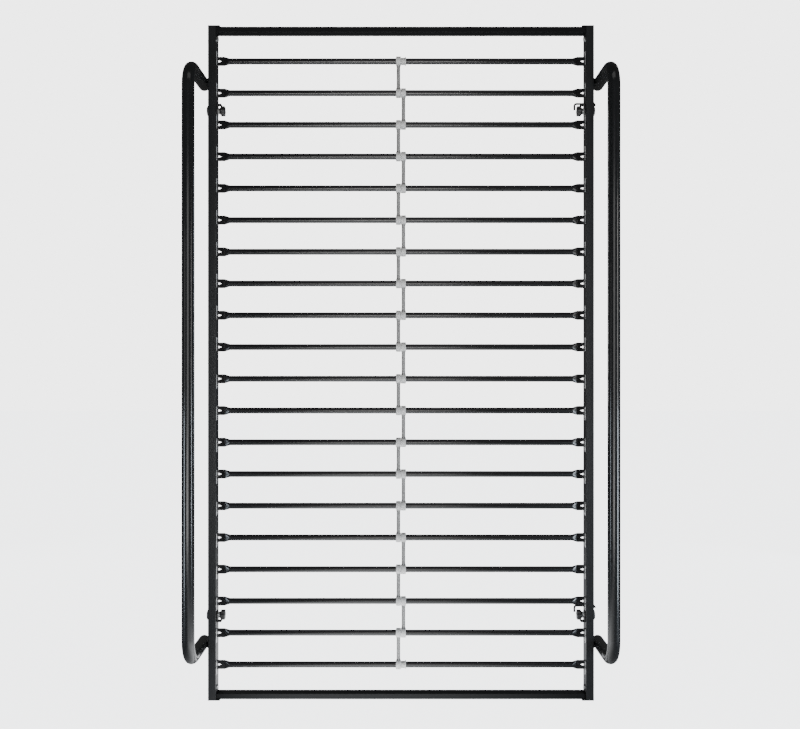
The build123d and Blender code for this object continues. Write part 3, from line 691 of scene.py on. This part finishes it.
def cloudy_nylon_painted_shade(recipe, place):
    """Unpigmented regrind, unevenly mixed, with painted shade: darker where it lies deep, near the
    rungs' axis.
    """
    depth = recipe.node("ShaderNodeSeparateXYZ", sockets={0: place}, output="Y")
    # Painted shade: the strap and the rings' edges, which lie near the rungs' axis, are darkened,
    # and what stands further out is left pale.
    proud = ((abs(depth - rung_depth) - LINK_SHADE_FROM) / LINK_SHADE_RUN).between(0, 1)
    swirl = grain(recipe, place, 240.0, 3.0)
    skin = grain(recipe, place, 1500.0, 2.0)
    share = (swirl * 2.6 - 1.05) * 0.45 + proud * 0.6
    return {"Base Color": recipe.mixed(share, LINK_DARK, LINK_PALE),
            "Roughness": swirl * 0.2 + 0.38,
            "Normal": bumped(recipe, swirl + skin * 0.3, 0.5, 0.0006)}


link_nylon = finish_of("link_nylon", (0.6, 0.6, 0.59), {}, cloudy_nylon_painted_shade)
for name in sorted(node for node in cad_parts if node.startswith("link_")):
    low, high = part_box(name)
    link = gathered([snap_ring(-link_half), strap(), snap_ring(link_half)])
    bmesh.ops.translate(link, verts=link.verts,
                        vec=((low.x + high.x) / 2, rung_depth, (low.z + high.z) / 2))
    settled(link, name + "_moulding", link_nylon, "panel", "link_grey", name)


# ---- end collars ----
# The first and last rungs carry a flanged nylon ring where their missing link would be. It keeps
# the last link from sliding along.
COLLAR_RADIUS = 0.011
COLLAR_RIM = 0.0135
COLLAR_FLANGE = 0.003
COLLAR_EDGE = 0.0006

collar_low, collar_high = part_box("end_collars")
collar_length = collar_high.x - collar_low.x
step = collar_length - COLLAR_FLANGE
rim = COLLAR_RIM - COLLAR_EDGE
collar_profile = [(0, LINK_BORE), (0, COLLAR_RADIUS - COLLAR_EDGE), (COLLAR_EDGE, COLLAR_RADIUS)]
collar_profile += arc((step - COLLAR_EDGE, COLLAR_RADIUS + COLLAR_EDGE), COLLAR_EDGE, -90, 0, 3)
collar_profile += arc((step + COLLAR_EDGE, rim), COLLAR_EDGE, 180, 90, 3)
collar_profile += arc((collar_length - COLLAR_EDGE, rim), COLLAR_EDGE, 90, 0, 3)
collar_profile += [(collar_length, LINK_BORE), (0, LINK_BORE)]
collars = []
for name in ("rung_01", "rung_20"):
    low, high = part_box(name)
    collars.append(turned(collar_profile, (collar_low.x, rung_depth, (low.z + high.z) / 2)))
settled(gathered(collars), "end_collar_rings", link_nylon, "panel", "link_grey", "end_collars")


# ---- hoops ----
# A 38 mm tube bow stands off the front along each side. It is bent on a draw bender, its arms run
# back past the outer face of the stile, and a weld bead above and below joins each arm to it.
HOOP_WALL = 0.002
HOOP_BEND = 0.0715
HOOP_FACETS = 72
BEND_STEPS = 24
BEAD_RADIUS = 0.0026
BEAD_OFFSET = 0.0092          # from the arm's axis
BEAD_INSET = 0.0050           # from the stile's front face and the arm's end
BEAD_RIPPLE = 0.0016
BEAD_SUNK = 0.45              # of its radius, from the stile's face to the bead's axis
BEAD_TROUGH = 0.93            # of its radius, between ripples
BEAD_CREST = 0.09             # and how much more on them
BEAD_TIP = 0.05               # of its radius, at its very ends
BEAD_FACETS = 14

hoop_low, hoop_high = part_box("hoop_right")
HOOP_RADIUS = (hoop_high.x - half_width) / 2
hoop_x = half_width + HOOP_RADIUS
hoop_run = hoop_low.y + HOOP_RADIUS
arm_low = hoop_low.z + HOOP_RADIUS
arm_high = hoop_high.z - HOOP_RADIUS


def swept_bend(bm, loop, centre, quarter):
    """Carries a loop round a bend about X and returns the new loop."""
    verts = verts_of(loop)
    bent = bmesh.ops.spin(bm, geom=verts + loop, cent=centre, axis=(1, 0, 0), angle=quarter,
                          steps=BEND_STEPS, use_merge=False)["geom_last"]
    return edges_in(bent)


def circle_across_y(bm, centre, radius, facets):
    """An open ring of edges about a centre, across Y."""
    facing = Matrix.Translation(centre) @ Matrix.Rotation(pi / 2, 4, "X")
    made = bmesh.ops.create_circle(bm, cap_ends=False, radius=radius, segments=facets,
                                   matrix=facing)
    return list({edge for vert in made["verts"] for edge in vert.link_edges})


def hoop_tube():
    """The right hand hoop."""
    bm = bmesh.new()
    loop = circle_across_y(bm, (hoop_x, hoop_high.y, arm_low), HOOP_RADIUS, HOOP_FACETS)
    arm = hoop_high.y - hoop_run - HOOP_BEND
    bend_y = hoop_run + HOOP_BEND
    loop = drawn_out(bm, loop, (0, -arm, 0))
    loop = swept_bend(bm, loop, (hoop_x, bend_y, arm_low + HOOP_BEND), -pi / 2)
    loop = drawn_out(bm, loop, (0, 0, arm_high - arm_low - 2 * HOOP_BEND))
    loop = swept_bend(bm, loop, (hoop_x, bend_y, arm_high - HOOP_BEND), -pi / 2)
    drawn_out(bm, loop, (0, arm, 0))
    return bm


def weld_bead(start, end, radius):
    """A rippled bead along Y, its ripples a coin's edge apart."""
    bm = bmesh.new()
    loop = circle_across_y(bm, start, radius, BEAD_FACETS)
    centre = Vector(start)
    run = end[1] - start[1]
    rows = int(abs(run) / (BEAD_RIPPLE / 4))
    for row in range(1, rows + 1):
        loop = drawn_out(bm, loop, (0, run / rows, 0))
        along = row / rows
        swell = sqrt(max(0.0, 1 - (2 * along - 1) ** 8))
        swell *= BEAD_TROUGH + BEAD_CREST * abs(sin(pi * row / 4))
        centre.y = start[1] + run * along
        for vert in verts_of(loop):
            away = vert.co - centre
            away.y = 0
            spot = centre + away.normalized() * radius * max(swell, BEAD_TIP)
            vert.co.x, vert.co.z = spot.x, spot.z
    bmesh.ops.holes_fill(bm, edges=bm.edges, sides=0)
    return bm


hoop_coat = powder_coat("hoop_coat", (0.0085, 0.0090, 0.0098), (0.015, 0.016, 0.0175),
                        gloss=0.18, peel=0.05)
for side, name in ((1, "hoop_right"), (-1, "hoop_left")):
    tube = hoop_tube()
    bmesh.ops.scale(tube, verts=tube.verts, vec=(side, 1, 1))
    hoop = settled(tube, name + "_tube", hoop_coat, "panel", "hoop_black", name)
    wall = hoop.modifiers.new("wall", "SOLIDIFY")
    wall.thickness = HOOP_WALL
    wall.offset = -1
    wall.use_even_offset = True
    beads = []
    for arm in (arm_low, arm_high):
        for over in (-1, 1):
            x = side * (half_width + BEAD_RADIUS * BEAD_SUNK)
            z = arm + over * BEAD_OFFSET
            beads.append(weld_bead((x, stile_front + BEAD_INSET, z),
                                   (x, hoop_high.y - BEAD_INSET, z), BEAD_RADIUS))
    settled(gathered(beads), name + "_welds", hoop_coat, "panel", "hoop_black")


# ---- clamp bolts and nuts ----
# Each clamp is a coach bolt through both flanges of the stile, its domed head outside. A plain zinc
# nut on the panel side holds the lip plate, and the thread goes on into the knob.
CLAMP_HEAD = 0.007
CLAMP_HEAD_RADIUS = 0.0165
CLAMP_HEAD_ROUND = 0.005
CLAMP_HEAD_EDGE = 0.0005
CLAMP_CROWN = 0.0006          # how far the dome's middle stands above its shoulder
CLAMP_IN_KNOB = 0.004         # from the knob's far end to the bolt's tip
CLAMP_SHANK = 0.005
CLAMP_NUT = 0.006
CLAMP_NUT_FLATS = 0.017
LIP_PLATE = 0.003
THREAD_PITCH = 0.0015

clamp_low, clamp_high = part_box("clamp_bolts")
clamp_depth = (clamp_low.y + clamp_high.y) / 2
clamp_heights = (clamp_low.z + CLAMP_HEAD_RADIUS, clamp_high.z - CLAMP_HEAD_RADIUS)
knob_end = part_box("knob_upper_right")[0].x
clamp_tip = knob_end + CLAMP_IN_KNOB

bolt_coat = powder_coat("bolt_coat", (0.010, 0.0102, 0.0108), (0.018, 0.0182, 0.019),
                        gloss=0.33, peel=0.3)
heads, nuts = [], []
for side in (-1, 1):
    for z in clamp_heights:
        centre = (0, clamp_depth, z)
        shoulder = CLAMP_HEAD - CLAMP_CROWN - CLAMP_HEAD_ROUND
        dome = arc((shoulder, CLAMP_HEAD_RADIUS - CLAMP_HEAD_ROUND), CLAMP_HEAD_ROUND, 90, 0, 7)
        profile = [(0, 0), (0, CLAMP_HEAD_RADIUS - CLAMP_HEAD_EDGE), *dome]
        profile += [(CLAMP_HEAD - CLAMP_CROWN * 0.3, 0.006), (CLAMP_HEAD, 0.002), (CLAMP_HEAD, 0)]
        profile = [(side * (half_width + along), radius) for along, radius in profile]
        heads.append(turned(profile, centre, 64))
        face = flange - LIP_PLATE
        nuts.append(hexagon(side * (face - CLAMP_NUT), side * face, centre, CLAMP_NUT_FLATS))
        inside = half_width - STILE_WALL
        thread = threaded(clamp_tip, inside, CLAMP_SHANK, THREAD_PITCH, THREAD_DEPTH)
        profile = [(clamp_tip, 0), *thread, (inside, 0)]
        nuts.append(turned([(side * along, radius) for along, radius in profile], centre, 40))
settled(gathered(heads), "clamp_bolt_heads", bolt_coat, "panel", "bracket_black", "clamp_bolts")
settled(gathered(nuts), "clamp_bolt_nuts", zinc, "panel", "zinc", "clamp_bolts")


# ---- lip plates ----
# Under each clamp nut is a folded steel plate. Its lip stands out from the flange, on the side away
# from the middle of the gate, and stops the clamped part from turning.
LIP_FAR = 0.0215
LIP_NEAR = 0.0125
LIP_REACH = 0.0145
LIP_BEND = 0.0028
LIP_INNER = 0.0010
LIP_EDGE = 0.0004
SQUARE = 1.4                  # an edge that turns by more, in radians, is a square corner

lip_low, lip_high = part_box("lip_plates")


def sawn(outline, front, back):
    """A bar with that (x, z) outline from front to back, as a bmesh."""
    bm = bmesh.new()
    verts = [bm.verts.new((x, front, z)) for x, z in outline]
    loop = [bm.edges.new(pair) for pair in zip(verts, verts[1:] + verts[:1])]
    bmesh.ops.contextual_create(bm, geom=loop)
    loop = drawn_out(bm, loop, (0, back - front, 0))
    bmesh.ops.contextual_create(bm, geom=loop)
    return bm


plates = []
for side in (-1, 1):
    for z in clamp_heights:
        away = 1 if z > middle else -1
        under = LIP_FAR - LIP_PLATE
        outline = [(0, -LIP_NEAR), (0, LIP_FAR), (LIP_REACH, LIP_FAR), (LIP_REACH, under),
                   (LIP_PLATE, under), (LIP_PLATE, -LIP_NEAR)]
        outline = [(side * (flange - out), z + away * up) for out, up in outline]
        bm = sawn(outline, lip_low.y, lip_high.y)
        across = [e for e in bm.edges if lying(e, 1)]
        fold = Vector((side * flange, 0, z + away * LIP_FAR))
        nook = Vector((side * (flange - LIP_PLATE), 0, z + away * under))
        outer = [e for e in across if (e.verts[0].co - fold).xz.length < 1e-5]
        inner = [e for e in across if (e.verts[0].co - nook).xz.length < 1e-5]
        rounded(bm, outer, LIP_BEND, 6)
        rounded(bm, inner, LIP_INNER, 4)
        rounded(bm, [e for e in bm.edges if e.calc_face_angle(0) > SQUARE], LIP_EDGE, 2)
        plates.append(bm)
settled(gathered(plates), "lip_plate_set", bolt_coat, "panel", "bracket_black", "lip_plates")


# ---- star knobs ----
# Moulded black nylon hand knobs with six lobes. A cone neck meets the nut, the lobes are scalloped
# for the fingers, and the end is a shallow dish with a raised rim and a button over the thread.
KNOB_RADIUS = 0.0165
KNOB_FLUTE = 0.0135
KNOB_NECK = 0.0030
KNOB_NECK_RADIUS = 0.0108
KNOB_ROUND = 0.0020
KNOB_BORE = 0.0052
KNOB_FACETS = 96
LOBE_SHARPNESS = 1.4

knob_low, knob_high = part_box("knob_upper_right")
KNOB_LENGTH = knob_high.x - knob_low.x
knob_nylon = moulded("knob_nylon", (0.016, 0.016, 0.0165), (0.034, 0.034, 0.034),
                     gloss=0.42, texture=0.6)


def knob_stations():
    """(along from the nut's end, radius, depth of scallop) down the knob's length."""
    rows = [(0.0, KNOB_BORE, 0.0), (0.0, KNOB_NECK_RADIUS - 0.0005, 0.0),
            (0.0005, KNOB_NECK_RADIUS, 0.0), (KNOB_NECK * 0.6, KNOB_NECK_RADIUS + 0.0002, 0.0),
            (KNOB_NECK - 0.0003, KNOB_FLUTE - 0.0010, 0.0), (KNOB_NECK, KNOB_FLUTE - 0.0004, 0.0)]
    near, far = KNOB_NECK + KNOB_ROUND, KNOB_LENGTH - KNOB_ROUND
    grip = arc((near, KNOB_RADIUS - KNOB_ROUND), KNOB_ROUND, 180, 90, 4)
    grip.append((0.5 * (KNOB_NECK + far), KNOB_RADIUS))
    grip += arc((far, KNOB_RADIUS - KNOB_ROUND), KNOB_ROUND, 90, 0, 5)
    rows += [(along, radius, 1.0) for along, radius in grip]
    rim = [(0.0, 0.0118, 0.5), (0.0003, 0.0112, 0.2)]
    dish = [(0.0012, 0.0106, 0.0), (0.0014, 0.0080, 0.0)]
    button = [(0.0010, 0.0072, 0.0), (0.0003, 0.0066, 0.0), (0.0001, 0.0050, 0.0),
              (0.0, 0.0020, 0.0)]
    for sunk, radius, scallop in rim + dish + button:
        rows.append((KNOB_LENGTH - sunk, radius, scallop))
    return rows


def star_knob(side, centre):
    """A knob whose axis runs along X through centre, its nut end towards that side."""
    bm = bmesh.new()
    loop = circle_across_x(bm, KNOB_RADIUS, KNOB_FACETS)
    for station, (along, radius, scallop) in enumerate(knob_stations()):
        if station:
            loop = drawn_out(bm, loop, (0, 0, 0))
        for vert in verts_of(loop):
            y, z = Vector((vert.co.y, vert.co.z)).normalized()
            lobe = abs(y ** 3 - 3 * y * z * z) ** LOBE_SHARPNESS
            flute = scallop * (KNOB_RADIUS - KNOB_FLUTE) * (1 - lobe)
            vert.co.x = -side * along
            vert.co.y, vert.co.z = y * (radius - flute), z * (radius - flute)
    bmesh.ops.holes_fill(bm, edges=bm.edges, sides=0)
    bmesh.ops.translate(bm, verts=bm.verts, vec=centre)
    return bm


for side, side_name in ((-1, "left"), (1, "right")):
    for z, level_name in zip(clamp_heights, ("lower", "upper")):
        node = f"knob_{level_name}_{side_name}"
        knob = star_knob(side, (side * knob_high.x, clamp_depth, z))
        settled(knob, node + "_star", knob_nylon, node, "knob_black", node)


# ---- latches ----
# The right stile has two sprung tongues with a ramped nose. A round rod goes back through the inner
# flange from each and is bent down into a finger pull. Turned and milled steel, oiled black.
ROD_RADIUS = 0.0032
ROD_BEND = 0.0065
ROD_TIP = 0.0008
ROD_FACETS = 32
ROD_BEND_STEPS = 10
TONGUE_HALF = 0.0045
TONGUE_BELOW = 0.0065
TONGUE_HEIGHT = 0.018
TONGUE_NOSE = 0.004
TONGUE_RAMP = 0.001
COLLAR_THICK = 0.0025
COLLAR_LIP = 0.002
LATCH_EDGE = 0.0005

latch_black = powder_coat("latch_oxide", (0.010, 0.010, 0.0105), (0.020, 0.0195, 0.019),
                          gloss=0.30, peel=0.25)
latch_rises = []
for level_name in ("lower", "upper"):
    node = "latch_" + level_name
    low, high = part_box(node)
    depth = (low.y + high.y) / 2
    axis = high.z - COLLAR_LIP - TONGUE_HEIGHT + TONGUE_BELOW
    latch_rises.append((level_name, depth, axis))
    bottom = axis - TONGUE_BELOW
    top = bottom + TONGUE_HEIGHT
    shoulder = half_width - STILE_WALL
    start = shoulder - COLLAR_THICK
    outline = [(start, bottom), (high.x, bottom), (high.x, bottom + TONGUE_NOSE),
               (half_width + TONGUE_RAMP, top), (start, top)]
    tongue = sawn(outline, depth - TONGUE_HALF, depth + TONGUE_HALF)
    rounded(tongue, list(tongue.edges), LATCH_EDGE, 3)
    stop = slab((start, low.y, bottom - COLLAR_LIP), (shoulder, high.y, top + COLLAR_LIP))
    rounded(stop, list(stop.edges), LATCH_EDGE, 2)
    rod = bmesh.new()
    loop = circle_across_x(rod, ROD_RADIUS, ROD_FACETS)
    leg = low.x + ROD_RADIUS
    root = start + COLLAR_THICK / 2
    bmesh.ops.translate(rod, verts=rod.verts, vec=(root, depth, axis))
    loop = drawn_out(rod, loop, (leg + ROD_BEND - root, 0, 0))
    bent = bmesh.ops.spin(rod, geom=verts_of(loop) + loop, axis=(0, 1, 0), angle=-pi / 2,
                          cent=(leg + ROD_BEND, depth, axis - ROD_BEND), steps=ROD_BEND_STEPS,
                          use_merge=False)["geom_last"]
    loop = drawn_out(rod, edges_in(bent), (0, 0, low.z + ROD_TIP - (axis - ROD_BEND)))
    loop = drawn_out(rod, loop, (0, 0, -ROD_TIP))
    tip = 1 - ROD_TIP / ROD_RADIUS
    bmesh.ops.scale(rod, verts=verts_of(loop), vec=(tip, tip, 1),
                    space=Matrix.Translation((-leg, -depth, -low.z)))
    bmesh.ops.holes_fill(rod, edges=rod.edges, sides=0)
    settled(gathered([tongue, stop, rod]), node + "_bolt", latch_black, node, "latch_black", node)


# ---- latch guides ----
# A black nylon bush carries each pull rod through the inner flange. Its head is inside the channel
# and its nose stands a little proud on the panel side.
GUIDE_RADIUS = 0.0043
GUIDE_HEAD_RADIUS = 0.006
GUIDE_HEAD = 0.0012
GUIDE_PROUD = 0.002
GUIDE_BORE = 0.00326
GUIDE_EDGE = 0.0004

guides = []
for _, depth, z in latch_rises:
    nose = flange - GUIDE_PROUD
    back = flange + STILE_WALL
    profile = [(nose, GUIDE_BORE), (nose, GUIDE_RADIUS - GUIDE_EDGE),
               (nose + GUIDE_EDGE, GUIDE_RADIUS), (back, GUIDE_RADIUS),
               (back, GUIDE_HEAD_RADIUS), (back + GUIDE_HEAD - GUIDE_EDGE, GUIDE_HEAD_RADIUS),
               (back + GUIDE_HEAD, GUIDE_HEAD_RADIUS - GUIDE_EDGE),
               (back + GUIDE_HEAD, GUIDE_BORE), (nose, GUIDE_BORE)]
    guides.append(turned(profile, (0, depth, z), 40))
settled(gathered(guides), "latch_guide_bushes", knob_nylon, "panel", "guide_black", "latch_guides")


# ---- latch springs ----
# A coil of bright spring wire round each rod, between the guide's head and the tongue's collar. Its
# end coils are closed.
WIRE_RADIUS = 0.0004
COIL_TURNS = 3.5
COIL_STEPS = 36               # to the turn
WIRE_FACETS = 12
CLOSED_RISE = 2.2             # of the wire's radius, over each closed end coil

spring_steel = zinc_plate("spring_steel", (0.42, 0.42, 0.43), (0.66, 0.66, 0.67), gloss=0.30)
for level_name, depth, z in latch_rises:
    node = "latch_spring_" + level_name
    low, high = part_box(node)
    coil_radius = (high.z - low.z) / 2 - WIRE_RADIUS
    length = high.x - low.x - 2 * WIRE_RADIUS
    closed = (1.0, WIRE_RADIUS * CLOSED_RISE)
    open_coils = (COIL_TURNS, length - 2 * WIRE_RADIUS * CLOSED_RISE)
    bm = bmesh.new()
    start = (low.x + WIRE_RADIUS, depth, z + coil_radius)
    loop = circle_across_y(bm, start, WIRE_RADIUS, WIRE_FACETS)
    for turns, rise in (closed, open_coils, closed):
        steps = int(turns * COIL_STEPS)
        wound = bmesh.ops.spin(bm, geom=verts_of(loop) + loop, cent=(0, depth, z), axis=(1, 0, 0),
                               dvec=(rise / steps, 0, 0), angle=turns * tau, steps=steps,
                               use_merge=False)["geom_last"]
        loop = edges_in(wound)
    bmesh.ops.holes_fill(bm, edges=bm.edges, sides=0)
    spring = settled(bm, node + "_coil", spring_steel, "panel", "spring_steel", node)
    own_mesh(spring)
